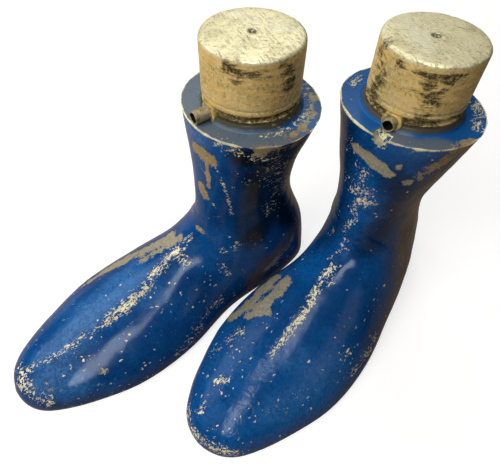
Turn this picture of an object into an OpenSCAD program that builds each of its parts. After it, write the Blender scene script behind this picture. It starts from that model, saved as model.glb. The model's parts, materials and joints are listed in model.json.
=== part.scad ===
// Pair of hollow cast foot forms, a left and a right.
// Each has a turned clamping post on its collar, held down by a tie rod, and a vent tube.
// Local frame of one form: X to the toe, Y to the left, Z up, zero on the sole under the post.

/* [Foot] */
// post axis to toe tip
toe_reach = 218; // [210:1:226]
// post axis to back of heel
heel_reach = 54; // [51:1:57]
// width over the ball
ball_w = 110.5; // [105:0.5:111.5]
// width over the heel
heel_w = 79; // [75:1:80]
// thickness near the toe tip
toe_h = 20; // [17:1:23]
// height of the ridge over the ball
ball_h = 37.5; // [35:0.5:40]
// height of the ridge where the instep turns up
throat_h = 73; // [69:1:76]
// bend of the toe towards the inner side
toe_bend = 4; // [1:0.5:6]
// bow of the waist towards the outer side
waist_bow = 9; // [6:0.5:10]
// shift of the instep ridge towards the inner side
ridge_shift = 4; // [0:1:6]

/* [Ankle and collar] */
// sole to collar face
form_h = 173; // [166:1:180]
// least width of the ankle
ankle_w = 64; // [61:1:68]
// least length of the ankle
ankle_l = 79; // [76:1:82]
// collar width
collar_w = 96; // [92:1:99]
// collar length
collar_l = 89; // [86:1:92]

/* [Casting] */
// wall thickness
wall = 9; // [7:0.5:10]
// foot diameter of the raised land on the collar face
land_d = 68; // [66:0.5:70]
// slope of the land's side
land_slope = 2; // [1:0.5:2]
// height of the land
land_h = 4; // [3:0.5:4.5]
// diameter of the core opening in the collar
bore_d = 40; // [36:1:42]
// depth of the bore below the collar face, down to the hollow
bore_depth = 46; // [44:1:50]
// diameter of the boss inside the sole
boss_d = 30; // [26:1:32]
// height of the boss top over the sole
boss_h = 34; // [30:1:38]

/* [Post] */
// post diameter
post_d = 63.5; // [60:0.5:66]
// post length from its lower rim to its top
post_h = 36; // [32:1:42]
// worn round of the top rim
rim_r = 2.5; // [1.5:0.5:4]
// chamfer of the lower rim
rim_chamfer = 0.8; // [0.4:0.1:1.2]
// diameter of the neck inside the relief groove
neck_d = 55; // [53:0.5:56]
// diameter of the seat flange
flange_d = 63; // [60:0.5:63.5]
// chamfer of the seat flange
flange_chamfer = 0.5; // [0.2:0.1:0.8]
// height of the seat flange
flange_h = 1.5; // [1:0.1:2]
// depth of the spigot below the collar face
spigot_h = 18; // [14:1:22]
// mouth of the centre hole
centre_d = 5; // [4:0.5:7]
// pilot drill of the centre hole
pilot_d = 2.5; // [2:0.5:3]
// depth of the pilot drill
pilot_depth = 7; // [6:1:9]

/* [Vent tube] */
// outside diameter
tube_d = 8.5; // [8:0.5:10]
// inside diameter
tube_bore = 6.5; // [5:0.5:7]
// post axis to open end on the left form
left_tube_reach = 38; // [36:0.5:48]
// post axis to open end on the right form
right_tube_reach = 44; // [36:0.5:48]
// depth of the tube end in the post
tube_seat = 5; // [3:0.5:6]
// width of the boss round the tube
tube_boss_d = 13; // [12.5:0.5:14]
// length of the boss out past the neck
tube_boss_l = 5.5; // [4.5:0.5:7]
// metal under and over the tube in its boss
tube_skin = 0.5; // [0.4:0.1:0.8]
// diameter of the notch filed in the collar rim under the tube
notch_d = 13; // [11:1:14]
// depth of the notch in the collar face
notch_depth = 3.5; // [2.5:0.5:4]

/* [Tie rod] */
// thread diameter
rod_d = 12; // [10:1:12]
// depth of the rod in the post
rod_in_post = 14; // [10:1:18]
// width of the lock nut over its flats
nut_af = 19; // [17:1:19]
// height of the lock nut
nut_h = 8; // [6:1:10]
// thickness of the gasket under the flange
gasket_t = 1; // [0.5:0.1:1.5]

/* [Pair] */
// distance between the post axes from side to side
pair_x = 74; // [74:0.5:88]
// distance between the post axes from front to back
pair_y = 75.5; // [72:0.5:80]
// outward turn of each toe
splay = 7.6; // [5:0.2:10]

/* [Fits] */
// radial clearance of the spigot in the bore
spigot_clear = 0.1; // [0.05:0.05:0.2]
// radial clearance of threads and the tube
thread_clear = 0.1; // [0.05:0.05:0.2]
// end clearance of the rod and tube in their holes
end_clear = 0.2; // [0.1:0.1:0.3]

/* [Hidden] */
$fn = 64;
eps = 0.01;
// rows of the casting sampled in each span, and points along a section's edge and crown
outer_rows = 4;
inner_rows = 2;
edge_steps = 6;
crown_steps = 10;
// the loft starts just behind the toe tip and is trimmed flat below the sole
toe_start = 0.12;
sole_trim = 1;
least_flat = 1;
// the hollow runs from behind the toe to the neck
hollow_start = 2.5;
hollow_end = 13;
half_ball = ball_w / 2;
half_heel = heel_w / 2;
half_ankle = ankle_w / 2;
// feather edge: the side stands this far out past the flat of the sole
feather = 1.2;
bore_r = bore_d / 2;
post_r = post_d / 2;
neck_r = neck_d / 2;
flange_r = flange_d / 2;
tube_r = tube_d / 2;
rod_r = rod_d / 2;
// heights over the collar face: the relief groove is as high as the boss of the tube needs
tube_z = tube_skin + tube_r + thread_clear;
boss_top = 2 * tube_z;
seat_z = land_h + gasket_t;
flange_z = seat_z + flange_h;
rim_z = boss_top + end_clear;
post_z = rim_z + post_h;
// sixty degree cone of the centre hole
centre_cone = (centre_d - pilot_d) / 2 / tan(30);
rod_bottom = wall + sole_trim;
rod_top = form_h + rod_in_post;
// the boss stands on a flat cut this deep into the neck
boss_seat = 1.5;
boss_in = neck_r - boss_seat;
tube_in = boss_in - tube_seat;
vent_x = (rod_r + tube_in) / 2 + tube_bore / 4;
// the drilling down to the hollow is finer than the cross drilling it meets
vent_d = tube_bore - 1;
// Stations from toe to collar. Columns: sole x, sole z, ridge x, ridge z, sideways shift,
// half flat of the sole, half width, height of the widest line, ridge shift, fullness of the crown.
stations = [
  // toe tip
  [toe_reach, -sole_trim, toe_reach, 0.3 * toe_h, -toe_bend, 0, 0, 0.4, 0, 2.2],
  // round of the toe
  at_sole(toe_reach - 4, 0.75 * toe_h, -0.8 * toe_bend, 0.29 * half_ball, 0.2, -0.25, 2.1),
  at_sole(toe_reach - 16, 1.15 * toe_h, -0.6 * toe_bend, 0.52 * half_ball, 0.14, -0.5, 2),
  // vamp
  at_sole(0.793 * toe_reach, 0.825 * ball_h, -0.1 * toe_bend, 0.783 * half_ball, 0.11, -0.75, 1.85),
  // ball
  at_sole(0.62 * toe_reach, ball_h, 0.28 * waist_bow, 0.99 * half_ball, 0.1, -1, 1.72),
  // low instep
  fan(0.413, 0.415, 0.64, 0.64 * waist_bow, half_ball, 0.1, -1, 1.68),
  // waist
  fan(0.206, 0.282, 0.805, waist_bow, 0.847 * half_ball, 0.14, -0.75, 1.7),
  // arch
  fan(0.023, 0.22, 1, 0.83 * waist_bow, 1.09 * half_heel, 0.2, -0.4, 1.82),
  // heel seat
  heel(-0.55, 0, 0.512, 0.488, 0.5, 0.88, 1.02, 0.28, -0.15, 1.92),
  // heel curve
  heel(-0.87, 0, 0.511, 0.508, 0.28, 0.56, 0.99, 0.32, -0.1, 1.95),
  // heel edge
  heel(-1, 0.023, 0.511, 0.525, 0.17, 0.22, 0.975, 0.345, -0.05, 1.975),
  // heel back
  heel(-0.99, 0.243, 0.506, 0.596, 0.03, 0, 0.86, 0.41, 0, 2),
  // ankle
  shank(-0.444, 0.525, 0.556, 0.687, half_ankle, 0.48),
  // neck
  shank(-0.408, 0.76, 0.55, 0.82, 0.6 * half_ankle + 0.2 * collar_w, 0.5),
  // collar
  [-collar_l / 2, form_h, collar_l / 2, form_h, 0, 0, collar_w / 2, 0.5, 0, 2]
];
last = len(stations) - 1;
// an upright section on the flat of the sole
function at_sole(x, z, shift, half, widest, ridge, full) =
  [x, -sole_trim, x, z, shift, half - feather, half, widest, ridge * ridge_shift, full];
// a section that leans back from the sole to the instep
function fan(along, over, up, shift, half, widest, ridge, full) =
  [along * toe_reach, -sole_trim, over * toe_reach, up * throat_h, shift, half - feather, half,
   widest, ridge * ridge_shift, full];
// a section of the heel, from the sole or the back of the heel to the throat
function heel(along, rise, over, up, shift, flat, half, widest, ridge, full) =
  [along * heel_reach, rise > 0 ? rise * form_h : -sole_trim, over * collar_l, up * form_h, shift * waist_bow,
   flat * half_heel, half * half_heel, widest, ridge * ridge_shift, full];
// a section across the ankle
function shank(back, rise, front, up, half, widest) =
  [back * ankle_l, rise * form_h, front * ankle_l, up * form_h, 0, 0, half, widest, 0, 2];
// the toe is round in plan, so the row before its tip is the next one mirrored
function before_tip(r) = [r[0], r[1], r[2], r[3], r[4], -r[5], -r[6], r[7], r[8], r[9]];
function row(i) = i < 0 ? before_tip(stations[1]) : i > last ? 2 * stations[last] - stations[last - 1] : stations[i];
// distance travelled from the toe, half way up the sections
function travel(i) = norm([for (c = [0 : 3]) row(i)[c] - row(i - 1)[c]]) / 2;
function way(i) = i <= 0 ? i * travel(1) : way(i - 1) + travel(i);
ways = [for (i = [0 : last + 1]) way(i)];
function slope(i) = (row(i + 1) - row(i - 1)) / (ways[i + 1] - (i > 0 ? ways[i - 1] : way(-1)));
// smooth curve through the stations, in step with the distance between them
function blend(a, b, from, to, t) =
  a * (1 + 2 * t) * (1 - t) * (1 - t) + from * t * (1 - t) * (1 - t) + b * t * t * (3 - 2 * t) - to * t * t * (1 - t);
function station(u) =
  let (i = min(floor(u), last - 1), span = ways[i + 1] - ways[i])
  blend(row(i), row(i + 1), slope(i) * span, slope(i + 1) * span, u - i);
// the same section moved in by the wall
function inset(r) =
  let (run = [r[2] - r[0], r[3] - r[1]], d = run * wall / norm(run))
  [r[0] + d[0], r[1] + d[1], r[2] - d[0], r[3] - d[1], r[4], r[5] - wall, r[6] - wall, r[7], r[8], r[9]];
// half of a section as [sideways, share of the height]: the sole edge, then the crown
function half_section(flat, half, widest, full) = [
  for (k = [0 : edge_steps - 1]) let (a = 90 * k / edge_steps)
    [flat + (half - flat) * sin(a), widest * (1 - cos(a))],
  for (k = [0 : crown_steps - 1]) let (a = 90 * k / crown_steps)
    [half * pow(cos(a), 2 / full), widest + (1 - widest) * pow(sin(a), 2 / full)]
];
function section(r) =
  let (flat = max(r[5], least_flat), half = max(r[6], flat + least_flat / 2),
       side = half_section(flat, half, r[7], r[9]),
       ring = concat(side, [[0, 1]], [for (k = [len(side) - 1 : -1 : 0]) [-side[k][0], side[k][1]]]))
  [for (p = ring) [r[0] + (r[2] - r[0]) * p[1], r[4] + r[8] * p[1] + p[0], r[1] + (r[3] - r[1]) * p[1]]];
function rings(from, to, steps) = [for (k = [0 : steps]) from + (to - from) * k / steps];
outer_sections = [for (u = rings(toe_start, last, outer_rows * last)) section(station(u))];
hollow_sections = [for (u = rings(hollow_start, hollow_end, inner_rows * last)) section(inset(station(u)))];
function flatten(lists) = [for (l = lists) for (p = l) p];
// extent of the pair, so that its box stands centred on the origin
function placed(p, hand) =
  let (a = -90 + hand * splay)
  [p[0] * cos(a) - hand * p[1] * sin(a) + hand * pair_x / 2, p[0] * sin(a) + hand * p[1] * cos(a) + hand * pair_y / 2];
pair_points = flatten([for (hand = [-1, 1]) [for (p = flatten(outer_sections)) placed(p, hand)]]);
pair_xs = [for (p = pair_points) p[0]];
pair_ys = [for (p = pair_points) p[1]];
pair_centre = [(min(pair_xs) + max(pair_xs)) / 2, (min(pair_ys) + max(pair_ys)) / 2];

paint = [0.05, 0.16, 0.42];
bare = [0.74, 0.69, 0.56];
steel = [0.55, 0.53, 0.5];
fibre = [0.25, 0.2, 0.16];

// skin over a row of sections, closed at both ends
module loft(sections) {
  n = len(sections[0]);
  rows = len(sections) - 1;
  sides = [for (i = [0 : rows - 1]) for (j = [0 : n - 1]) let (k = (j + 1) % n) each [
    [i * n + j, i * n + k, (i + 1) * n + k],
    [i * n + j, (i + 1) * n + k, (i + 1) * n + j]
  ]];
  toe_end = [for (j = [n - 1 : -1 : 0]) j];
  top_end = [for (j = [0 : n - 1]) rows * n + j];
  polyhedron(flatten(sections), concat(sides, [toe_end, top_end]));
}

// one form stands on its own axis: hand is 1 for the left form and -1 for the right one
module place(hand) {
  translate([hand * pair_x / 2 - pair_centre[0], hand * pair_y / 2 - pair_centre[1], 0])
    rotate([0, 0, -90 + hand * splay])
      scale([1, hand, 1])
        children();
}

// level rod from one distance to another out from the post axis, over the collar face
module along_tube(r, from, to, over = tube_z) {
  translate([from, 0, form_h + over])
    rotate([0, 90, 0])
      cylinder(r = r, h = to - from);
}

// room of the boss round the tube between the collar face and a height over it
module boss_room(clear, to, top) {
  intersection() {
    along_tube(tube_boss_d / 2 + clear, boss_in, to);
    translate([0, -tube_boss_d, form_h])
      cube([to + eps, 2 * tube_boss_d, top]);
  }
}

// what the tube and its boss need in the pieces round them
module tube_room(top) {
  along_tube(tube_r + thread_clear, tube_in - end_clear, boss_in + eps);
  boss_room(thread_clear, land_d, top);
}

module foot_casting(reach) {
  color(paint)
    difference() {
      union() {
        loft(outer_sections);
        translate([0, 0, form_h - eps])
          cylinder(d1 = land_d, d2 = land_d - 2 * land_slope, h = land_h + eps);
      }
      difference() {
        loft(hollow_sections);
        cylinder(d = boss_d, h = boss_h);
      }
      translate([0, 0, form_h - bore_depth])
        cylinder(r = bore_r, h = bore_depth + land_h + eps);
      translate([0, 0, rod_bottom])
        cylinder(r = rod_r + thread_clear, h = boss_h);
      tube_room(boss_top);
      along_tube(notch_d / 2, reach, collar_l, notch_d / 2 - notch_depth);
      translate([-2 * toe_reach, -toe_reach, -2 * sole_trim])
        cube([4 * toe_reach, 2 * toe_reach, 2 * sole_trim]);
    }
}

module post() {
  color(bare)
    difference() {
      translate([0, 0, form_h])
        rotate_extrude()
          union() {
            translate([0, -spigot_h])
              square([bore_r - spigot_clear, spigot_h + seat_z]);
            polygon([[0, seat_z], [flange_r, seat_z], [flange_r, flange_z - flange_chamfer],
                     [flange_r - flange_chamfer, flange_z], [0, flange_z]]);
            translate([0, flange_z])
              square([neck_r, rim_z - flange_z]);
            polygon([[0, rim_z], [post_r - rim_chamfer, rim_z], [post_r, rim_z + rim_chamfer],
                     [post_r, post_z - rim_r], [0, post_z - rim_r]]);
            translate([0, post_z - rim_r])
              square([post_r - rim_r, rim_r]);
            intersection() {
              translate([post_r - rim_r, post_z - rim_r])
                circle(r = rim_r);
              translate([post_r - rim_r, post_z - rim_r])
                square(rim_r);
            }
          }
      translate([0, 0, form_h + post_z - centre_cone])
        cylinder(d1 = pilot_d, d2 = centre_d, h = centre_cone);
      translate([0, 0, form_h + post_z - pilot_depth])
        cylinder(d = pilot_d, h = pilot_depth);
      translate([0, 0, form_h - spigot_h - eps])
        cylinder(r = rod_r + thread_clear, h = spigot_h + rod_in_post + end_clear);
      tube_room(rim_z);
      along_tube(tube_bore / 2, vent_x - tube_bore / 2, tube_in);
      translate([vent_x, 0, form_h - spigot_h - eps])
        cylinder(d = vent_d, h = spigot_h + tube_z);
    }
}

module seat_gasket() {
  color(fibre)
    difference() {
      translate([0, 0, form_h + land_h])
        cylinder(d = land_d - 2 * land_slope, h = gasket_t);
      translate([0, 0, form_h + land_h - eps])
        cylinder(r = bore_r, h = gasket_t + 2 * eps);
      tube_room(rim_z);
    }
}

module vent_tube(reach) {
  color(steel)
    difference() {
      along_tube(tube_r, tube_in, reach);
      along_tube(tube_bore / 2, tube_in - eps, reach + eps);
    }
}

module tube_boss() {
  color(bare)
    difference() {
      boss_room(0, neck_r + tube_boss_l, boss_top);
      along_tube(tube_r + thread_clear, boss_in - eps, neck_r + tube_boss_l + eps);
    }
}

module tie_rod() {
  color(steel)
    translate([0, 0, rod_bottom + end_clear])
      cylinder(r = rod_r, h = rod_top - rod_bottom - end_clear);
}

module lock_nut() {
  color(steel)
    translate([0, 0, boss_h])
      difference() {
        cylinder(d = nut_af / cos(30), h = nut_h, $fn = 6);
        translate([0, 0, -eps])
          cylinder(r = rod_r + thread_clear, h = nut_h + 2 * eps);
      }
}

place(1) foot_casting(left_tube_reach);  // left_foot_casting
place(1) post();  // left_post
place(1) seat_gasket();  // left_seat_gasket
place(1) vent_tube(left_tube_reach);  // left_vent_tube
place(1) tube_boss();  // left_tube_boss
place(1) tie_rod();  // left_tie_rod
place(1) lock_nut();  // left_lock_nut
place(-1) foot_casting(right_tube_reach);  // right_foot_casting
place(-1) post();  // right_post
place(-1) seat_gasket();  // right_seat_gasket
place(-1) vent_tube(right_tube_reach);  // right_vent_tube
place(-1) tube_boss();  // right_tube_boss
place(-1) tie_rod();  // right_tie_rod
place(-1) lock_nut();  // right_lock_nut
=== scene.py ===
"""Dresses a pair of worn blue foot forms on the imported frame.

Each piece or group of like pieces has its own operator, and main() calls them in order.
Lengths are in metres; the paths and heights of wear are in millimetres.
"""
import json
import math
from functools import partial, reduce

import bmesh
import bpy
import numpy as np
from mathutils import Matrix, Vector, noise


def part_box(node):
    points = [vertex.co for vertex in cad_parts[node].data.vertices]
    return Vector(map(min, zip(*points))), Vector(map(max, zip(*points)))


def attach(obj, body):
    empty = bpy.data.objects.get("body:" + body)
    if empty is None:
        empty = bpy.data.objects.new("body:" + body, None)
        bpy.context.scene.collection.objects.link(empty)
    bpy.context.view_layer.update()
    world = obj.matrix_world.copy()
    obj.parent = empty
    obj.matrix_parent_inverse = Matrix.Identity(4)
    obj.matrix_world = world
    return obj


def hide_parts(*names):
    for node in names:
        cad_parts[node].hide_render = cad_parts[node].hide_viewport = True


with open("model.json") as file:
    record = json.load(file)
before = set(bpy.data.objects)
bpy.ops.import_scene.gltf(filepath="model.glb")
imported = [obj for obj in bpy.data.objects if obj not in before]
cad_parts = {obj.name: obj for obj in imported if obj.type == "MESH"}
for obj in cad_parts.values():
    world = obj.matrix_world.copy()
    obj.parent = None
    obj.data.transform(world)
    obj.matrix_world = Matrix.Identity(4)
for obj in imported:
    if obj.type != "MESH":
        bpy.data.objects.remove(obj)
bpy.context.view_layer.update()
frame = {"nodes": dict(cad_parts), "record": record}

bl_info = {
    "name": "Worn foot forms",
    "version": (1, 0, 0),
    "blender": (4, 5, 0),
    "location": "3D View > Sidebar > Foot forms",
    "description": "Dresses a pair of painted foot forms with turned posts and vent tubes",
    "category": "Object",
}

MM = 0.001
SIDES = ("left", "right")
MOUNTS = {m["name"]: m for m in frame["record"]["mounts"]}
POST_RADIUS = MOUNTS["left_post"]["dims"]["r_mm"] / 1000
POST_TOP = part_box("left_post")[1].z
LAND_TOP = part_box("left_foot_casting")[1].z
GASKET_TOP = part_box("left_seat_gasket")[1].z
SPIGOT_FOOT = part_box("left_post")[0].z
ROD_LOW, ROD_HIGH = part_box("left_tie_rod")
# the toes turn outward by this much on each side
SPLAY = math.radians(7.6)
# points closer than this are one point
WELD = 1e-6
# edges of the collar face longer than this are cut in four
COLLAR_STEP = 0.004
# the cast skin has no waves at the sole, at the collar and in the bores round a post's axis;
# each pair is the width without waves and the width over which they come in
SOLE_CALM, COLLAR_CALM, BORE_CALM = (0.001, 0.006), (0.001, 0.01), (0.022, 0.006)
# how far from a post's top rim its dents and nicks reach
RIM_REACH = 0.006
# room between a post and the rod and boss that sit in it
ROD_SIDE, ROD_END, BOSS_ROOM = 0.1 * MM, 0.2 * MM, 0.00003
# broken edge of a tube's end, how far back the end is battered, and how deep
TUBE_LIP, TUBE_END, TUBE_DENT = 0.0003, 0.004, 0.0005
# where the sooty black with painted shade at a tube's root starts to fade, from the post's axis, and over what
# length
SOOT_SHADE_START, SOOT_SHADE_FADE = 0.028, 0.004
# broken edges of a boss
BOSS_EDGE = 0.00018
# colours with no setting of their own, each partly soiling and partly painted shade
GRIME_AND_SHADE_BLACK = (0.0012, 0.0015, 0.0035)
LAND_DIRT_AND_SHADE = (0.065, 0.062, 0.032)
SOOT_AND_SHADE = (0.012, 0.011, 0.01)

# Lights: name, setting of the power and share of it, place, size, colour, gives shine, gives diffuse light.
WARM, PALE, COOL, CLEAR = (1.0, 0.95, 0.88), (1.0, 0.97, 0.92), (0.85, 0.94, 1.0), (0.9, 0.96, 1.0)
LAMPS = (
    ("key", "key", 1, (-0.15, -1.0, 0.95), (1.0, 1.0), WARM, False, True),
    ("low_left", "low", 1, (-1.3, -0.05, 0.25), (0.6, 0.3), WARM, False, True),
    ("ceiling", "ceiling", 1, (-0.15, 0.1, 1.3), (1.2, 1.2), PALE, False, True),
    ("left_window", "window", 1, (-0.98, -0.35, 0.99), (0.9, 0.8), COOL, True, False),
    ("high_window", "high", 1, (-0.55, 0.62, 1.1), (0.6, 0.6), (1.0, 0.98, 0.95), True, True),
    ("strip", "strip", 1, (0.5, -0.6, 1.04), (0.3, 0.9), CLEAR, True, False),
    ("short_strip", "strip", 0.3, (0.12, 0.03, 1.27), (0.2, 0.45), CLEAR, True, False),
    ("right_window", "side", 1, (0.95, 0.3, 0.75), (0.5, 0.4), (1, 1, 1), True, False),
)
# the lights face this height over the origin
LAMP_AIM = 0.08
# what the floor throws back: to dull surfaces and to shiny ones
FLOOR_DULL, FLOOR_SHINE = (0.14, 0.11, 0.08), (0.36, 0.285, 0.2)

# Wear of the castings: kind, path of points in mm, reach in mm, strength.
# "bare" is flaked down to the metal, the stained kind is bare and stained with painted warm reflection, "fleck" is
# clustered chips,
# "dot" is single round chips, the brown kind is brown dust with painted warm reflection, the black kind is blackened
# paint with painted shade, "dust" is grey dust and, on the forefeet and collars, painted sheen.
CASTING_MARKS = {
    "right": [
        ("bare", [(-68, -17, 52), (-75, -28, 43), (-83, -42, 36), (-90, -54, 29), (-95, -69, 25)], 8, 1),
        ("bare", [(-56, -15, 59), (-65, -30, 48), (-71, -47, 41)], 5, 0.8),
        # painted shade darkens the side of the ankle here
        ("grime_and_shade", [(1, 19, 161), (-4, 37, 118), (-6, 36, 90), (-9, 24, 73)], 17, 1),
        ("grime_and_shade", [(-10, 18, 117), (-13, 18, 87)], 9, 0.7),
        ("bare", [(-95, -69, 25), (-97, -84, 22), (-99, -93, 19)], 4, 0.8),
        ("fleck", [(-50, -22, 56), (-51, -35, 50), (-49, -50, 46), (-46, -64, 42), (-47, -79, 39),
                   (-47, -95, 36)], 7, 1),
        ("fleck", [(-53, -26, 54), (-38, -23, 52)], 6, 0.85),
        ("fleck", [(-47, -95, 36), (-49, -108, 34), (-52, -133, 30), (-57, -147, 26),
                   (-62, -158, 23)], 4.5, 0.8),
        ("dot", [(-37, -47, 45), (-36, -61, 41), (-33, -90, 34), (-40, -111, 32), (-37, -123, 29),
                 (-39, -136, 26)], 13, 0.6),
        ("fleck", [(-69, -162, 19), (-55, -166, 18), (-44, -164, 17), (-35, -160, 13)], 8, 0.85),
        ("fleck", [(0, -66, 8), (-2, -48, 15), (-7, -28, 20), (-8, -11, 19)], 8, 0.7),
        ("dot", [(-6, -88, 15), (-6, -97, 14), (-12, -113, 16)], 9, 0.55),
        ("dot", [(-22, -45, 38), (-19, -22, 38)], 12, 0.45),
        ("fleck", [(-17, -2, 45), (-13, -1, 38)], 5, 0.7),
        ("fleck", [(-16, 12, 66), (-17, 10, 61)], 4.5, 0.85),
        ("fleck", [(-23, 2, 60)], 5, 0.6),
        ("bare", [(-46, -4, 73), (-39, -3, 72)], 3.2, 0.9),
        ("fleck", [(-49, -15, 60), (-48, -10, 65)], 5, 0.85),
        # bare stained metal with painted warm reflection under the collar
        ("tan", [(-44, 0, 154), (-35, -1, 155), (-28, 0, 154)], 6.5, 1),
        ("tan", [(-33, 0, 148), (-33, 0, 126)], 2.2, 0.9),
        ("tan", [(-41, -1, 121), (-36, -1, 113)], 4.5, 1),
        ("fleck", [(-27, 1, 150), (-23, 3, 142), (-21, 5, 128), (-20, 7, 114), (-19, 9, 100)], 2.2, 1),
        ("fleck", [(-23, 0, 170), (-13, 4, 169), (-6, 9, 167)], 6, 0.75),
        ("tan", [(-3, 14, 170), (4, 23, 170), (7, 35, 170), (6, 46, 170)], 5.5, 0.85),
        ("fleck", [(0, 16, 166), (4, 27, 157), (4, 39, 151)], 10, 0.75),
        ("fleck", [(-11, 9, 147), (-9, 12, 140)], 7, 0.5),
        # brown dust with painted warm reflection
        ("haze_and_warm_reflection", [(10, 38, 172), (6, 39, 156), (-3, 50, 130)], 9, 0.9),
        # painted warm reflection along the heel
        ("haze_and_warm_reflection", [(-2, 66, 54), (1, 52, 44), (0, 45, 38), (-3, 29, 25), (-5, 20, 17)], 12, 1),
        ("bare", [(0, 60, 46), (1, 50, 36), (-2, 36, 22)], 5, 0.62),
        ("fleck", [(-26, 85, 173), (-7, 70, 173), (1, 52, 173)], 5, 0.95),
        ("fleck", [(-6, 22, 173), (-1, 34, 173), (-1, 45, 173)], 4, 0.8),
        ("bare", [(-60, 94, 20), (-48, 98, 60)], 9, 0.8),
        # painted sheen: faded blue on the lateral forefoot and the toe
        ("dust", [(-67, -60, 40), (-65, -100, 34), (-56, -114, 34), (-54, -142, 28), (-45, -150, 22),
                  (-32, -140, 23)], 17, 0.95),
        # painted shade darkens the side of the ankle here
        ("grime_and_shade", [(-3, 22, 143), (-4, 28, 120), (-5, 42, 105), (-6, 53, 92), (-5, 60, 76)], 18, 1.2),
        ("fleck", [(0, 22, 152), (0, 30, 138), (-4, 40, 120), (-6, 36, 100)], 13, 0.62),
        # grey dust and painted sheen on the collar face
        ("dust", [(-72, 75, 173), (-84, 42, 173), (-72, 14, 173), (-40, -1, 173)], 14, 1),
        ("dust", [(-40, 2, 173), (-10, 12, 173), (2, 30, 173)], 10, 0.8),
        ("bare", [(-14, 78, 173), (2, 60, 173), (6, 44, 173)], 4.5, 0.75),
        # blackened paint with painted shade under the collar
        ("grime_and_shade", [(-6, 11, 163), (5, 26, 164), (6, 32, 152), (0, 30, 132)], 13, 1.2),
        # painted sheen on the instep
        ("dust", [(-38, -31, 49), (-37, -52, 43), (-38, -66, 40)], 9, 0.55),
        ("fleck", [(-82, 60, 10), (-88, 20, 8), (-98, -40, 8)], 10, 0.7),
        ("tan", [(-80, 40, 160), (-72, 62, 155)], 8, 0.8),
    ],
    "left": [
        ("bare", [(12, 28, 29), (12, 11, 27), (13, -4, 25), (11, -17, 20)], 8.5, 1),
        ("bare", [(24, 26, 38), (24, 12, 35), (23, -1, 33)], 8, 1),
        ("bare", [(20, -13, 29), (32, -3, 36)], 5, 0.9),
        # painted shade darkens the side of the ankle here
        ("grime_and_shade", [(59, 81, 144), (64, 88, 130), (64, 93, 105), (60, 78, 76)], 15, 0.75),
        ("grime_and_shade", [(17, 80, 160), (20, 79, 141), (23, 79, 120), (26, 78, 100), (27, 77, 78),
                   (22, 71, 54)], 14, 0.6),
        ("grime_and_shade", [(8, 95, 155), (12, 95, 120), (12, 94, 90), (10, 90, 58)], 26, 0.62),
        ("fleck", [(47, 55, 57), (47, 41, 50), (52, 27, 46), (55, 13, 43), (56, -2, 40),
                   (59, -24, 36)], 4.8, 1),
        ("fleck", [(53, 50, 54), (55, 44, 51)], 4, 0.9),
        ("dot", [(30, -11, 34), (38, -28, 33), (42, -42, 31), (46, -59, 28)], 15, 0.6),
        ("fleck", [(28, -27, 30), (24, -39, 25), (20, -49, 19)], 6.5, 0.75),
        ("fleck", [(43, -65, 26), (48, -58, 29)], 4, 0.95),
        ("fleck", [(47, -80, 23), (48, -87, 19)], 4, 0.95),
        ("dot", [(57, -73, 26), (64, -85, 21), (81, -77, 18), (74, -63, 25)], 13, 0.65),
        ("fleck", [(40, -90, 10), (49, -97, 8), (63, -96, 11), (74, -93, 9), (84, -85, 8)], 7, 0.9),
        ("fleck", [(101, 53, 16), (105, 34, 14), (106, 18, 14)], 6, 0.75),
        ("fleck", [(95, 25, 26), (95, 17, 25)], 6, 0.6),
        ("dot", [(104, 1, 16), (95, -7, 23), (98, -21, 20)], 9, 0.5),
        ("bare", [(30, 75, 155), (37, 75, 154), (44, 75, 152), (55, 79, 148)], 5.2, 1),
        ("bare", [(58, 80, 155)], 3, 0.95),
        ("bare", [(63, 85, 144), (66, 87, 144)], 3, 0.95),
        ("fleck", [(40, 75, 141), (34, 75, 120), (47, 76, 127), (47, 76, 116), (42, 74, 106)], 6.5, 0.85),
        ("fleck", [(51, 78, 118), (43, 75, 117), (40, 74, 108)], 4.5, 1),
        ("fleck", [(44, 74, 99), (37, 74, 76)], 4, 0.8),
        ("fleck", [(41, 60, 58), (45, 71, 72)], 5, 0.7),
        ("fleck", [(26, 76, 151), (37, 75, 137), (30, 76, 128)], 12, 0.5),
        # bare stained metal with painted warm reflection under the collar
        ("tan", [(70, 92, 152), (77, 98, 161), (80, 101, 168), (84, 110, 171)], 8, 0.95),
        # brown dust with painted warm reflection on the side of the ankle
        ("haze_and_warm_reflection", [(76, 101, 146), (73, 102, 130), (69, 115, 99)], 11, 0.75),
        ("haze_and_warm_reflection", [(69, 115, 83), (72, 116, 66), (75, 113, 53), (81, 122, 33), (86, 106, 31)], 13, 1),
        # painted warm reflection at the silhouette
        ("tan", [(70, 122, 74), (73, 122, 62)], 7, 0.68),
        ("fleck", [(41, 79, 171), (44, 75, 170)], 5.5, 1.3),
        # painted shade under the tube
        ("grime_and_shade", [(42, 81, 170), (41, 83, 171)], 3.5, 1),
        ("bare", [(38, 77, 171), (43, 75, 169)], 3, 0.9),
        ("fleck", [(66, 150, 173), (74, 141, 173), (79, 126, 173)], 5.5, 1),
        ("fleck", [(-3, 108, 173), (-5, 117, 173)], 5.5, 0.95),
        ("bare", [(60, 170, 22), (48, 172, 60)], 9, 0.8),
        ("dust", [(44, 80, 173), (60, 84, 173), (74, 96, 173)], 9, 0.85),
        # painted sheen: mottled faded blue on the right side of the forefoot
        ("dust", [(72, -14, 33), (86, -8, 29), (97, 8, 21), (94, -28, 22), (84, -50, 21)], 16, 0.6),
        ("fleck", [(4, 130, 10), (2, 90, 8), (6, 40, 8)], 10, 0.7),
        ("tan", [(0, 140, 160), (8, 152, 155)], 8, 0.8),
    ],
}
LAYERS = ("bare", "fleck", "dot", "haze_and_warm_reflection", "grime_and_shade", "stain_and_warm_reflection", "dust")
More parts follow.
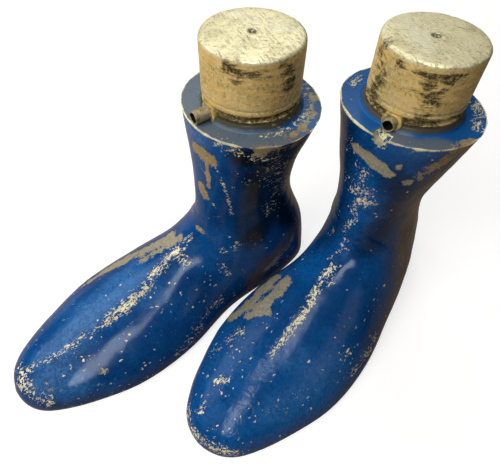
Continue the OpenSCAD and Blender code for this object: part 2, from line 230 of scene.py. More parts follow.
# Dark smears with painted shade, and bright scuffs with painted highlights, of the posts, in the same form.
POST_MARKS = {
    "right": [
        ("smear_and_shade", [(-27, 13, 213), (-22, 15, 211), (-15, 21, 211), (-9, 27, 212)], 5, 0.9),
        ("smear_and_shade", [(-24, 14, 206), (-15, 20, 209)], 5, 0.7),
        ("smear_and_shade", [(-6, 35, 213), (-5, 43, 207), (-5, 42, 200)], 6, 0.75),
        ("smear_and_shade", [(-50, 71, 205), (-62, 61, 200)], 8, 0.7),
        # painted shade on the flange, under the rim
        ("smear_and_shade", [(-37, 11.5, 179), (-15, 20.7, 179), (-6, 37, 179)], 4, 1),
        ("scuff_and_highlight", [(-36, 11, 189), (-20, 16, 190), (-11, 26, 188)], 9, 0.7),
        ("scuff_and_highlight", [(-58, 50, 219), (-42, 60, 219), (-28, 58, 219)], 9, 0.7),
        # painted shade in the drilled centre
        ("smear_and_shade", [(-37, 43, 219), (-37, 43, 212)], 4, 1),
    ],
    "left": [
        ("smear_and_shade", [(20, 93, 214), (22, 91, 207), (23, 90, 196), (21, 91, 185)], 9, 0.66),
        ("smear_and_shade", [(34, 88, 213), (47, 89, 212.5), (58, 94, 212), (65, 105, 212.5)], 3, 1),
        ("smear_and_shade", [(58, 95, 211), (61, 98, 210)], 4, 0.9),
        ("smear_and_shade", [(52, 91, 207), (58, 94, 201), (56, 93, 195)], 9, 0.78),
        ("smear_and_shade", [(53, 91, 186), (63, 104, 184), (67, 113, 184), (69, 120, 187)], 4, 0.75),
        ("smear_and_shade", [(20, 145, 205), (12, 135, 198)], 9, 0.7),
        # painted highlight on the side of the post
        ("scuff_and_highlight", [(39, 87, 191), (49, 89, 192)], 8, 0.9),
        # painted highlight on the top
        ("scuff_and_highlight", [(14, 118, 219), (27, 112, 219), (38, 104, 219)], 10, 0.85),
        # painted shade in the drilled centre
        ("smear_and_shade", [(37, 118.5, 219), (37, 118.5, 212)], 4, 1),
    ],
}
POST_LAYERS = ("smear_and_shade", "scuff_and_highlight", "top")


def colour_field(name, description, default):
    """A colour that a user can change."""
    return bpy.props.FloatVectorProperty(
        name=name, description=description, subtype="COLOR", default=default, min=0, max=1)


def length_field(name, description, default):
    """A length that a user can change."""
    return bpy.props.FloatProperty(name=name, description=description, unit="LENGTH", default=default)


def power_field(name, description, default):
    """The power of a light, which a user can change."""
    return bpy.props.FloatProperty(name=name, description=description, unit="POWER", default=default)


class CastingFinish(bpy.types.PropertyGroup):
    """Paint and wear of the foot castings."""

    levels: bpy.props.IntProperty(
        name="Smoothing", description="Subdivision of the cast skin", default=2, min=1, max=3)
    paint_deep: colour_field("Deep paint", "Blue in the thick coats", (0.002, 0.040, 0.165))
    paint_light: colour_field("Thin paint", "Blue in the thin and faded coats", (0.004, 0.090, 0.315))
    # dust and painted sheen on the collar face
    dull_and_sheen: colour_field("Dull paint", "Dusty blue of the collar face", (0.11, 0.15, 0.2))
    # faded paint and painted sheen
    faded_and_sheen: colour_field("Faded paint", "Chalky blue of the faded coats", (0.05, 0.185, 0.46))
    chip: colour_field("Fresh chip", "Cream of the small chips", (0.64, 0.585, 0.36))
    metal: colour_field("Bare patch", "Grey of the large flaked patches", (0.34, 0.32, 0.235))
    # tan stain with painted warm reflection
    stain_and_warm_reflection: colour_field("Stained patch", "Tan of the stained patches", (0.40, 0.28, 0.13))
    # brown dust and painted warm reflection
    haze_and_warm_reflection: colour_field("Haze", "Brown dust on the paint", (0.13, 0.082, 0.035))
    gloss: bpy.props.FloatProperty(
        name="Paint roughness", description="Roughness of sound paint", subtype="FACTOR", default=0.12, min=0, max=1)
    wave: length_field("Waviness", "Depth of the waves in the cast skin", 0.0004)
    collar_z: length_field("Collar face", "Height of the collar face", LAND_TOP - 0.004)
    collar_half: bpy.props.FloatVectorProperty(
        name="Collar half sizes", description="Half length and half width of the collar", size=2,
        unit="LENGTH", default=(0.0445, 0.048))


class PostShape(bpy.types.PropertyGroup):
    """Sizes and metal of the turned posts."""

    radius: length_field("Radius", "Post radius", POST_RADIUS)
    rim: length_field("Top round", "Worn round of the top rim", 0.0025)
    neck: length_field("Neck radius", "Radius in the relief groove", 0.0275)
    flange: length_field("Flange radius", "Radius of the seat flange", 0.0315)
    spigot: length_field("Spigot radius", "Radius in the collar bore", 0.0197)
    length: length_field("Length", "Top to lower rim", 0.036)
    groove: length_field("Groove", "Height of the relief groove", 0.0034)
    wear: length_field("Rim wear", "Depth of the rim's wear", 0.0006)
    steps: bpy.props.IntProperty(name="Steps", description="Faces round the post", default=160, min=24)
    metal: colour_field("Metal", "Yellowed turned aluminium", (0.95, 0.715, 0.265))
    bright: colour_field("Worn metal", "Aluminium rubbed bright", (1.0, 0.94, 0.61))
    # clamp smears and painted shade
    smear_and_shade: colour_field("Smears", "Black clamp smears", (0.035, 0.028, 0.015))


class TubeShape(bpy.types.PropertyGroup):
    """Sizes and metal of the vent tubes."""

    radius: length_field("Radius", "Outer radius", 0.00425)
    bore: length_field("Bore", "Inner radius", 0.00325)
    height: length_field("Height", "Tube axis above the floor", LAND_TOP + 0.00085)
    inner: length_field("Inner end", "Post axis to the inner end", 0.021)
    reach: bpy.props.FloatVectorProperty(
        name="Reach", description="Post axis to the open end, left and right", size=2, unit="LENGTH",
        default=(0.038, 0.044))
    metal: colour_field("Metal", "Dull drawn tube", (0.52, 0.45, 0.29))


class StageSettings(bpy.types.PropertyGroup):
    """Camera and light."""

    lens: bpy.props.FloatProperty(name="Lens", description="Focal length in mm", default=31.768)
    place: bpy.props.FloatVectorProperty(
        name="Camera", description="Place of the camera", subtype="XYZ", unit="LENGTH",
        default=(0.13466, -0.13219, 0.34515))
    ahead: bpy.props.FloatVectorProperty(
        name="Ahead", description="Where the camera looks", subtype="DIRECTION",
        default=(-0.42778, 0.44754, -0.78531))
    right: bpy.props.FloatVectorProperty(
        name="Right", description="The picture's right", subtype="DIRECTION", default=(0.6999, 0.71378, 0.02552))
    key: power_field("Key", "Power of the high light at the front left", 19)
    low: power_field("Low light", "Power of the low light at the left", 9)
    ceiling: power_field("Ceiling", "Power of the light above", 3.5)
    window: power_field("Window", "Power of the light at the left", 4)
    high: power_field("High window", "Power of the light behind", 3.8)
    strip: power_field("Strip", "Power of the light over the insteps", 6.5)
    side: power_field("Side", "Power of the light at the right", 0.4)
    sky: bpy.props.FloatProperty(name="Sky", description="Light from all round", default=0.03)
    floor: colour_field("Floor", "Pale floor", (0.8, 0.8, 0.8))


def post_axis(side):
    """Point on the floor under the post of one form."""
    x, y, _ = MOUNTS[side + "_post"]["pos_m"]
    return Vector((x, y, 0))


def toe_turn(side):
    """Angle of one form's toe in plan."""
    return -math.pi / 2 + (SPLAY if side == "left" else -SPLAY)


def tube_run(side, tube):
    """Place and direction of one form's tube, with x from the post's axis to the open end."""
    start = post_axis(side) + Vector((0, 0, tube.height))
    return Matrix.Translation(start) @ Matrix.Rotation(toe_turn(side), 4, "Z")


def linked(name, data):
    """A new object in the scene."""
    thing = bpy.data.objects.new(name, data)
    bpy.context.scene.collection.objects.link(thing)
    return thing


def solid(bm, name):
    """Turns a finished bmesh into an object in the scene."""
    mesh = bpy.data.meshes.new(name)
    bm.to_mesh(mesh)
    bm.free()
    return linked(name, mesh)


def keep(bm, name, node):
    """Turns a finished bmesh into a smooth piece that stands for a CAD node."""
    piece = solid(bm, name)
    for face in piece.data.polygons:
        face.use_smooth = True
    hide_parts(node)
    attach(piece, "root")
    return piece


def dress(piece, material, sharp):
    """Gives a piece its material and its sharp edges, from an angle in degrees."""
    piece.data.materials.clear()
    piece.data.materials.append(material)
    piece.data.set_sharp_from_angle(angle=math.radians(sharp))


def frozen(piece):
    """Applies the modifiers of a piece to its mesh."""
    bpy.context.view_layer.update()
    shape = piece.evaluated_get(bpy.context.evaluated_depsgraph_get())
    mesh = bpy.data.meshes.new_from_object(shape)
    if not mesh.polygons:
        raise RuntimeError(piece.name + " has no faces left")
    piece.modifiers.clear()
    piece.data = mesh


def merged_copy(node):
    """A CAD node's mesh as a bmesh with its loose triangles joined."""
    bm = bmesh.new()
    bm.from_mesh(frame["nodes"][node].data)
    bmesh.ops.remove_doubles(bm, verts=bm.verts, dist=WELD)
    bmesh.ops.dissolve_degenerate(bm, edges=bm.edges, dist=WELD)
    return bm


def sharp_edges(bm, angle):
    """Edges whose two faces turn by more than an angle in degrees."""
    return [e for e in bm.edges if len(e.link_faces) == 2 and e.calc_face_angle() > math.radians(angle)]


def spun(bm, chain, edges, centre, axis, steps):
    """Spins a profile into a closed skin."""
    bmesh.ops.spin(bm, geom=chain + edges, cent=centre, axis=axis, angle=2 * math.pi, steps=steps, use_merge=True)
    bmesh.ops.remove_doubles(bm, verts=bm.verts, dist=WELD)
    bmesh.ops.recalc_face_normals(bm, faces=bm.faces)


def nearness(points, path, reach):
    """Share from 0 to 1 by which each point lies near a path, both in mm."""
    path = np.array(path, float)
    best = np.linalg.norm(points - path[0], axis=1)
    for a, b in zip(path[:-1], path[1:]):
        run = b - a
        along = np.clip((points - a) @ run / (run @ run), 0, 1)
        best = np.minimum(best, np.linalg.norm(points - a - along[:, None] * run, axis=1))
    return np.clip(1 - (best / (1.4 * reach)) ** 2, 0, 1) ** 1.5


def point_values(mesh, name):
    """The place or the normal of each point of a mesh."""
    values = np.empty(len(mesh.vertices) * 3)
    mesh.vertices.foreach_get(name, values)
    return values.reshape(-1, 3)


def store_marks(mesh, marks, layers, base):
    """Writes each kind of mark to a layer of the mesh, on top of the wear found all over."""
    points = point_values(mesh, "co") * 1000
    values = {name: np.zeros(len(points)) for name in layers}
    values.update(base(points))
    for kind, path, reach, strength in marks:
        near = nearness(points, path, reach) * strength
        for name in (("bare", "stain_and_warm_reflection") if kind == "tan" else (kind,)):
            values[name] = np.maximum(values[name], near)
    for name, value in values.items():
        mesh.attributes.new(name, "FLOAT", "POINT").data.foreach_set("value", value.astype(np.float32))


def casting_base(points):
    """Wear found all over a casting: a few chips, more at the sole edge, and a scuffed sole."""
    height = points[:, 2]
    low = np.clip(1 - height / 7, 0, 1)
    fore = np.clip((60 - height) / 60, 0, 1)
    return {"bare": np.where(height < 0.05, 0.55, 0), "fleck": 0.1 + 0.1 * fore + 0.4 * low, "dot": 0.1 * fore}


def post_base(points):
    """The top face and its rim are rubbed bright; the groove and the flange are soiled black with painted shade."""
    height = points[:, 2]
    return {"top": np.clip((height - 1000 * POST_TOP + 3.2) / 1.5, 0, 1),
            "smear_and_shade": np.clip((183 - height) / 1.2, 0, 0.75)}


class Shader:
    """Short spelling for building a procedural material."""

    def __init__(self, name):
        self.material = bpy.data.materials.new(name)
        self.material.use_nodes = True
        self.tree = self.material.node_tree
        self.tree.nodes.clear()
        self.place = self.add("TexCoord", "Object")

    def add(self, kind, out=0, settings=(), **sockets):
        """Adds a node, fills its sockets and returns one of its outputs."""
        node = self.tree.nodes.new("ShaderNode" + kind)
        for name, value in dict(settings).items():
            setattr(node, name, value)
        for name, value in sockets.items():
            self.fill(node.inputs[name.replace("_", " ")], value)
        return node.outputs[out]

    def fill(self, socket, value):
        """Links an output to a socket or sets its value."""
        if isinstance(value, bpy.types.NodeSocket):
            self.tree.links.new(value, socket)
        elif socket.type == "RGBA":
            socket.default_value = (*value, 1)
        else:
            socket.default_value = value

    def fill_all(self, sockets, values):
        """Fills sockets in order."""
        for socket, value in zip(sockets, values):
            self.fill(socket, value)

    def math(self, kind, *values):
        """A Math node."""
        node = self.add("Math", settings={"operation": kind}).node
        self.fill_all(node.inputs, values)
        return node.outputs[0]

    def plus(self, *values):
        """Sum of the values."""
        return reduce(partial(self.math, "ADD"), values)

    def times(self, *values):
        """Product of the values."""
        return reduce(partial(self.math, "MULTIPLY"), values)

    def most(self, *values):
        """Largest of the values."""
        return reduce(partial(self.math, "MAXIMUM"), values)

    def minus(self, value, less):
        """One value less another."""
        return self.math("SUBTRACT", value, less)

    def swing(self, value, width):
        """Noise moved to lie about zero, and widened."""
        return self.times(self.minus(value, 0.5), width)

    def vector(self, kind, *values):
        """A Vector Math node."""
        node = self.add("VectorMath", settings={"operation": kind}).node
        self.fill_all(node.inputs, values)
        return node.outputs["Value" if kind == "LENGTH" else "Vector"]

    def ramp(self, value, low, high, to_low=0.0, to_high=1.0):
        """Smooth step from one value to another."""
        return self.add("MapRange", settings={"interpolation_type": "SMOOTHSTEP"}, Value=value, From_Min=low,
                        From_Max=high, To_Min=to_low, To_Max=to_high)

    def mix(self, share, a, b):
        """Mixes two colours."""
        node = self.add("Mix", settings={"data_type": "RGBA"}).node
        self.fill_all((node.inputs[0], node.inputs[6], node.inputs[7]), (share, a, b))
        return node.outputs[2]

    def layer(self, name):
        """A layer of wear stored on the mesh."""
        return self.add("Attribute", "Fac", {"attribute_name": name})

    def noise(self, scale, detail=4.0, roughness=0.55, distortion=0.0, vector=None):
        """Noise between 0 and 1."""
        return self.add("TexNoise", Vector=vector or self.place, Scale=scale, Detail=detail, Roughness=roughness,
                        Distortion=distortion)

    def turned(self, location, angle, scale):
        """Coordinates about a place, turned and divided by a scale."""
        return self.add("Mapping", settings={"vector_type": "TEXTURE"}, Vector=self.place, Location=location,
                        Rotation=(0, 0, angle), Scale=scale)

    def bump(self, height, strength, distance):
        """Normal of a height."""
        return self.add("Bump", Height=height, Strength=strength, Distance=distance)

    def close(self, surface):
        """Closes the material with a surface."""
        out = self.tree.nodes.new("ShaderNodeOutputMaterial")
        self.fill(out.inputs["Surface"], surface)
        return self.material

    def finish(self, **sockets):
        """Closes the material with one principled shader."""
        return self.close(self.add("BsdfPrincipled", **sockets))


class ChippedPaint(Shader):
    """Blue gloss paint, flaked and chipped down to the cast metal."""

    def __init__(self, side, look):
        super().__init__(side + "_chipped_paint")
        self.side, self.look = side, look
        self.wear = {name: self.layer(name) for name in LAYERS}
        self.height = self.add("SeparateXYZ", "Z", Vector=self.place)
        self.collar = self.ramp(self.height, look.collar_z - 0.0004, look.collar_z - 0.0002)
        self.below = self.minus(1.0, self.collar)
        self.broad = self.noise(14, 4, 0.6)
        self.flakes = self.noise(70, 7, 0.66, 0.3)
        self.fine = self.noise(560, 6, 0.68, 0.7, self.along((1.6, 1, 1)))
        self.dust = self.noise(900, 4, 0.6)
        self.ragged = self.plus(self.swing(self.flakes, 2.6), self.swing(self.fine, 1.5))

    def along(self, scale):
        """Coordinates that run with the foot, divided by a scale."""
        return self.turned(post_axis(self.side), toe_turn(self.side), scale)

    def patches(self):
        """Large flakes with ragged edges."""
        return self.ramp(self.plus(self.wear["bare"], self.ragged), 0.52, 0.56)

    def chips(self):
        """Clustered chips, thicker where the marks are strong."""
        thick = self.plus(self.times(self.wear["fleck"], 0.23), self.swing(self.flakes, 0.3))
        return self.ramp(self.plus(self.fine, thick), 0.72, 0.735)

    def dots(self):
        """Single round chips, more of them where the marks are strong."""
        jitter = self.add("TexNoise", "Color", Vector=self.place, Scale=520.0, Detail=2.0)
        spots = self.vector("MULTIPLY_ADD", jitter, (0.003, 0.003, 0.003), self.along((1.25, 1, 1)))
        cell = self.add("TexVoronoi", Vector=spots, Scale=360.0).node.outputs
        draw = self.add("SeparateColor", Color=cell["Color"]).node.outputs
        radius = self.plus(0.09, self.times(draw["Green"], 0.2))
        inside = self.minus(self.plus(radius, self.swing(self.dust, 0.6)), cell["Distance"])
        chosen = self.math("LESS_THAN", draw["Red"], self.plus(0.03, self.times(self.wear["dot"], 0.7)))
        return self.times(self.ramp(inside, 0.0, 0.03), chosen)

    def rim(self):
        """Chips along the collar's edge, just outside and just inside it."""
        ring = self.vector("LENGTH", self.along((*self.look.collar_half, 1000)))
        inside = self.times(self.collar, self.ramp(ring, 0.945, 1.0))
        under = self.ramp(self.height, self.look.collar_z - 0.003, self.look.collar_z - 0.0003)
        edge = self.most(inside, self.minus(under, self.collar))
        gaps = self.swing(self.noise(60, 3, 0.6), 1.3)
        broken = self.plus(edge, gaps, self.times(self.ragged, 0.6))
        return self.times(self.ramp(broken, 0.7, 0.8), self.ramp(edge, 0.2, 0.4))

    def coat(self):
        """Colour of the paint that is left, with its fading, soiling, painted sheen, painted warm reflection and
        painted shade.
        """
        look, wear = self.look, self.wear
        blue = self.mix(self.ramp(self.broad, 0.3, 0.7), look.paint_deep, look.paint_light)
        blue = self.mix(self.ramp(self.noise(130, 5, 0.6, 0.5), 0.58, 0.7, 0, 0.6), blue, look.paint_deep)
        blue = self.mix(self.ramp(self.noise(420, 4, 0.65), 0.42, 0.68, 0, 0.45), blue, 0.45 * look.paint_deep)
        # chalky paint below the collar, partly painted sheen where the dust marks lie; grey-blue dust on the collar
        # face, partly painted sheen
        spread = self.plus(wear["dust"], self.swing(self.noise(90, 6, 0.65), 0.8))
        chalk_and_sheen = self.times(self.ramp(spread, 0.1, 0.9, 0, 0.6), self.below)
        chalk_and_sheen = self.times(chalk_and_sheen, self.ramp(self.noise(260, 4, 0.6, 1.2), 0.4, 0.6, 0.4, 1.0))
        blue = self.mix(chalk_and_sheen, blue, look.faded_and_sheen)
        blue = self.mix(self.collar, blue, self.mix(self.ramp(spread, 0.25, 0.75), look.paint_light, look.dull_and_sheen))
        # soiled land with painted shade at the post's foot, brown dust with painted warm reflection, blackened paint
        # with painted shade
        land = self.ramp(self.height, look.collar_z + 0.0002, LAND_TOP)
        # painted shade at the post's foot, on a soiled land
        dirt_and_shade = self.ramp(self.plus(land, self.times(self.ragged, 0.4)), 0.1, 0.7)
        blue = self.mix(self.times(dirt_and_shade, 0.95), blue, LAND_DIRT_AND_SHADE)
        soft = self.ramp(self.plus(self.flakes, self.times(wear["haze_and_warm_reflection"], 0.25)), 0.4, 0.75)
        blue = self.mix(self.times(wear["haze_and_warm_reflection"], soft, 0.8), blue, look.haze_and_warm_reflection)
        # blackened paint and painted shade below the collar
        black = self.ramp(self.plus(self.flakes, self.times(wear["grime_and_shade"], 0.3)), 0.35, 0.7)
        return self.mix(self.times(wear["grime_and_shade"], self.below, black, 0.97), blue, GRIME_AND_SHADE_BLACK)

    def bared(self):
        """Colour of the metal in the large flakes, with painted warm reflection on the stained ones."""
        under = self.mix(self.wear["stain_and_warm_reflection"], self.look.metal, self.look.stain_and_warm_reflection)
        under = self.mix(self.ramp(self.fine, 0.4, 0.65, 0, 0.6), under, self.mix(0.75, under, (0.03, 0.03, 0.025)))
        return self.mix(self.ramp(self.dust, 0.5, 0.7, 0, 0.6), under, self.look.chip)

    def build(self):
        """The finished material."""
        patch = self.patches()
        small = self.most(self.chips(), self.dots(), self.rim())
        worn = self.most(small, patch)
        cream = self.mix(self.ramp(self.flakes, 0.4, 0.6), self.look.chip, (0.8, 0.77, 0.53))
        colour = self.mix(patch, self.coat(), self.bared())
        colour = self.mix(self.times(small, self.minus(1.0, self.times(patch, 0.6))), colour, cream)
        smudge = self.ramp(self.noise(55, 5, 0.6), 0.35, 0.75, 0.0, 0.1)
        dusty = self.times(self.most(self.collar, self.wear["haze_and_warm_reflection"]), 0.15)
        rough = self.plus(self.look.gloss, smudge, dusty, self.times(worn, 0.3))
        ripple = self.times(self.noise(170, 3, 0.55, 1.5), self.ramp(self.broad, 0.4, 0.65, 0.2, 1.0))
        depth = self.plus(self.minus(1.0, worn), ripple, self.times(self.dust, 0.1))
        return self.finish(Base_Color=colour, Roughness=rough, Metallic=self.times(patch, 0.2),
                           Specular_IOR_Level=0.3, Normal=self.bump(depth, 0.6, 0.0005))


def turned_metal(side, shape):
    """Yellowed turned aluminium with clamp smears, painted shade, painted highlights and a rubbed top."""
    s = Shader(side + "_turned_metal")
    smeared_and_shaded, scuffed_and_highlit, topped = (s.layer(name) for name in POST_LAYERS)
    axis = post_axis(side)
    about = s.add("SeparateXYZ", Vector=s.turned(axis, 0, (1, 1, 1))).node.outputs
    spread = s.math("SQRT", s.plus(s.times(about[0], about[0]), s.times(about[1], about[1])))
    lathe = s.noise(1100, 3, 0.6, 0.0, s.add("CombineXYZ", X=spread, Y=about[2], Z=s.times(about[0], 0.03)))
    streak = s.noise(1.0, 6, 0.65, 0.2, s.turned(axis, 0, (0.012, 0.012, 0.0028)))
    blot = s.noise(60, 6, 0.62, 0.4)
    grain = s.noise(600, 5, 0.6, 0.5)
    # scratches of the top run two ways
    cross = [s.noise(1.0, 4, 0.6, 0.5, s.turned(axis, angle, (0.009, 0.0011, 0.02))) for angle in (0.7, -0.35)]
    hatch = s.most(*(s.ramp(lines, 0.56, 0.68) for lines in cross))
    ragged = s.plus(s.swing(streak, 1.9), s.swing(blot, 1.2))
    # clamp smears and painted shade
    smear_and_shade = s.times(s.ramp(s.plus(smeared_and_shaded, ragged), 0.5, 0.85), s.ramp(grain, 0.3, 0.55, 0.3, 1.0))
    # rubbed metal and painted highlights
    scuff_and_highlight = s.ramp(s.plus(scuffed_and_highlit, ragged), 0.4, 0.9)
    speck = s.times(s.ramp(s.plus(grain, s.swing(blot, 0.3)), 0.53, 0.66), 0.6)
    # painted glints: bright specks of painted highlight
    glint = s.times(s.ramp(s.noise(420, 4, 0.6, 0.8), 0.52, 0.66), 0.55)
    # the side
    metal = s.mix(s.ramp(streak, 0.3, 0.7), shape.metal, 0.7 * shape.metal)
    metal = s.mix(s.ramp(lathe, 0.45, 0.75, 0, 0.3), metal, shape.bright)
    metal = s.mix(speck, metal, (0.14, 0.1, 0.05))
    metal = s.mix(glint, metal, shape.bright)
    # painted highlight on the side
    metal = s.mix(s.times(scuff_and_highlight, 0.45), metal, (1.0, 0.8, 0.42))
    # the top
    rubbed = s.mix(s.ramp(blot, 0.45, 0.65, 0, 0.5), shape.bright, (0.6, 0.53, 0.28))
    rubbed = s.mix(s.times(hatch, 0.5), rubbed, (0.34, 0.29, 0.14))
    rubbed = s.mix(s.times(speck, 0.7), rubbed, (0.2, 0.17, 0.09))
    # painted highlight on the top
    rubbed = s.mix(s.times(scuff_and_highlight, 0.55), rubbed, (1.0, 0.97, 0.78))
    metal = s.mix(topped, metal, rubbed)
    metal = s.mix(s.times(smear_and_shade, 0.93), metal, shape.smear_and_shade)
    rough = s.plus(s.ramp(blot, 0.3, 0.7, 0.34, 0.48), s.times(smear_and_shade, 0.15))
    scratches = s.times(s.minus(s.noise(210, 4, 0.6, 0.6), hatch), topped)
    height = s.plus(s.times(lathe, 0.4), s.times(grain, 0.8), streak, blot, scratches)
    return s.finish(Base_Color=metal, Metallic=0.5, Roughness=rough, Normal=s.bump(height, 0.6, 0.0004))


def dull_metal(name, colour, dark, metallic, soot_and_shade=None):
    """Rough bare metal with stains and fine pits, and sooty black with painted shade where the mesh has a layer of
    it.
    """
    s = Shader(name)
    blot = s.noise(160, 6, 0.62, 0.4)
    grain = s.noise(900, 5, 0.6)
    tone = s.mix(s.ramp(blot, 0.35, 0.68), colour, dark)
    tone = s.mix(s.ramp(grain, 0.52, 0.66, 0, 0.5), tone, [min(1, 1.6 * c) for c in colour])
    # sooty black with painted shade
    if soot_and_shade:
        tone = s.mix(s.times(s.layer(soot_and_shade), 0.97), tone, SOOT_AND_SHADE)
    return s.finish(Base_Color=tone, Metallic=metallic, Roughness=s.ramp(blot, 0.3, 0.7, 0.36, 0.58),
                    Normal=s.bump(s.plus(grain, blot), 0.35, 0.0003))


def fibre(name, colour):
    """Oiled fibre sheet of the gasket."""
    s = Shader(name)
    threads = s.noise(700, 6, 0.7, 1.0)
    oil = s.noise(60, 3)
    tone = s.mix(s.ramp(threads, 0.35, 0.65), colour, [0.45 * c for c in colour])
    return s.finish(Base_Color=tone, Roughness=s.ramp(oil, 0.3, 0.7, 0.55, 0.8), Normal=s.bump(threads, 0.5, 0.0003))


class FORMS_OT_castings(bpy.types.Operator):
    """Make the painted foot castings with their chips and bare patches"""

    bl_idname = "forms.castings"
    bl_label = "Foot castings"

    def execute(self, context):
        finish = context.scene.forms_casting
        for side in SIDES:
            piece = keep(self.skin(side, finish), side + "_form_skin", side + "_foot_casting")
            smooth = piece.modifiers.new("skin", "SUBSURF")
            smooth.levels = smooth.render_levels = finish.levels
            frozen(piece)
            self.uneven(piece.data, finish, post_axis(side))
            store_marks(piece.data, CASTING_MARKS[side], LAYERS, casting_base)
            dress(piece, ChippedPaint(side, finish).build(), 35)
        return {"FINISHED"}

    def skin(self, side, finish):
        """The CAD casting in four-sided faces, with its sharp edges marked."""
        bm = merged_copy(side + "_foot_casting")
        bmesh.ops.join_triangles(bm, faces=bm.faces, angle_face_threshold=math.radians(40),
                                 angle_shape_threshold=math.radians(70))
        # the collar face gets points close enough to carry its chips
        level = [e for e in bm.edges if e.calc_length() > COLLAR_STEP
                 and all(abs(v.co.z - finish.collar_z) < 1e-5 for v in e.verts)]
        bmesh.ops.subdivide_edges(bm, edges=level, cuts=3, use_grid_fill=True)
        crease = bm.edges.layers.float.new("crease_edge")
        for edge in sharp_edges(bm, 38):
            edge[crease] = 1.0
        return bm

    def uneven(self, mesh, finish, axis):
        """Leaves the cast skin a little wavy, away from the sole, the collar and the bores."""
        spots, normals = (point_values(mesh, name) for name in ("co", "normal"))
        x, y, z = spots.T
        rooms = ((z, SOLE_CALM), (finish.collar_z - z, COLLAR_CALM), (np.hypot(x - axis.x, y - axis.y), BORE_CALM))
        over_sole, under_collar, off_bore = (np.clip((far - calm) / fade, 0, 1) for far, (calm, fade) in rooms)
        free = np.minimum(over_sole, under_collar) * off_bore
        wave = np.array([noise.noise(38 * Vector(p)) + 0.5 * noise.noise(95 * Vector(p)) for p in spots])
        spots += normals * (finish.wave * wave * free)[:, None]
        mesh.vertices.foreach_set("co", spots.ravel())
        mesh.update()


class FORMS_OT_posts(bpy.types.Operator):
    """Turn the clamping posts with their worn rims and relief grooves"""

    bl_idname = "forms.posts"
    bl_label = "Turned posts"

    def execute(self, context):
        shape = context.scene.forms_post
        for side in SIDES:
            bm = bmesh.new()
            self.turn(bm, shape, post_axis(side))
            self.wear(bm, shape, post_axis(side))
            piece = keep(bm, side + "_post_turned", side + "_post")
            self.drill(piece, side, context.scene.forms_tube)
            store_marks(piece.data, POST_MARKS[side], POST_LAYERS, post_base)
            dress(piece, turned_metal(side, shape), 40)
        return {"FINISHED"}

    def turn(self, bm, shape, axis):
        """Spins the post's profile, from the drilled centre over the rim to the rod's socket."""
        top, foot = POST_TOP, POST_TOP - shape.length
        seat = foot - shape.groove
        score = foot + 3.6 * MM
        socket = (ROD_HIGH.x - ROD_LOW.x) / 2 + ROD_SIDE
        centre = [(0, top - 7 * MM), (1.25 * MM, top - 7 * MM), (1.25 * MM, top - 2.2 * MM),
                  (2.5 * MM, top - 0.05 * MM)]
        face = [(r, top - 0.02 * MM) for r in np.linspace(4 * MM, shape.radius - shape.rim, 14)]
        rim = [(shape.radius - shape.rim + shape.rim * math.sin(a), top - shape.rim + shape.rim * math.cos(a))
               for a in np.linspace(0.2, math.pi / 2, 7)]
        side = [(shape.radius, z) for z in np.linspace(top - shape.rim, score + 0.35 * MM, 18)[1:]]
        side += [(shape.radius - 0.25 * MM, score), (shape.radius, score - 0.35 * MM),
                 (shape.radius, foot + 0.8 * MM), (shape.radius - 0.25 * MM, foot + 0.2 * MM),
                 (shape.radius - 0.8 * MM, foot)]
        groove = [(shape.neck + 0.5 * MM, foot), (shape.neck, foot - 0.5 * MM),
                  (shape.neck, seat + 0.5 * MM), (shape.neck + 0.5 * MM, seat)]
        flange = [(shape.flange - 0.5 * MM, seat), (shape.flange, seat - 0.5 * MM), (shape.flange, GASKET_TOP)]
        spigot = [(shape.spigot, GASKET_TOP), (shape.spigot, SPIGOT_FOOT), (socket, SPIGOT_FOOT),
                  (socket, ROD_HIGH.z + ROD_END), (0, ROD_HIGH.z + ROD_END)]
        profile = centre + face + rim + side + groove + flange + spigot
        chain = [bm.verts.new((axis.x + r, axis.y, z)) for r, z in profile]
        edges = [bm.edges.new(pair) for pair in zip(chain[:-1], chain[1:])]
        spun(bm, chain, edges, axis, (0, 0, 1), shape.steps)

    def wear(self, bm, shape, axis):
        """Nicks and dents the top rim, and leaves the side a little uneven."""
        for vert in bm.verts:
            arm = Vector((vert.co.x - axis.x, vert.co.y - axis.y, 0))
            if arm.length < 6 * MM or vert.co.z < POST_TOP - shape.length + MM:
                continue
            from_rim = Vector((arm.length - shape.radius, vert.co.z - POST_TOP)).length
            near_rim = max(0.0, 1 - from_rim / RIM_REACH)
            dent = noise.noise(vert.co * 90) * 0.5 + 0.5
            nick = max(0.0, noise.noise(vert.co * 260) - 0.15)
            depth = shape.wear * (near_rim * (dent + 1.2 * nick) + 0.12 * dent)
            inward = arm.normalized() if vert.co.z < POST_TOP - MM else Vector((0, 0, 1))
            vert.co -= depth * (0.75 * inward + Vector((0, 0, 0.35 * near_rim)))

    def drill(self, piece, side, tube):
        """Opens the way of the vent tube through the flange and neck, and the seat of its boss."""
        depth = 0.03
        way = bmesh.new()
        bmesh.ops.create_cone(way, cap_ends=True, segments=48, radius1=tube.radius, radius2=tube.radius, depth=depth)
        run = tube_run(side, tube) @ Matrix.Translation((tube.inner + depth / 2, 0, 0))
        bmesh.ops.transform(way, matrix=run @ Matrix.Rotation(math.pi / 2, 4, "Y"), verts=way.verts)
        self.cut(piece, way)
        seat = merged_copy(side + "_tube_boss")
        seat.normal_update()
        for vert, out in [(v, v.normal.copy()) for v in seat.verts]:
            vert.co += BOSS_ROOM * out
        self.cut(piece, seat)

    def cut(self, piece, bm):
        """Takes the room of a bmesh out of a piece."""
        cutter = solid(bm, "drill")
        room = piece.modifiers.new("room", "BOOLEAN")
        room.operation, room.solver, room.object = "DIFFERENCE", "EXACT", cutter
        frozen(piece)
        bpy.data.objects.remove(cutter)


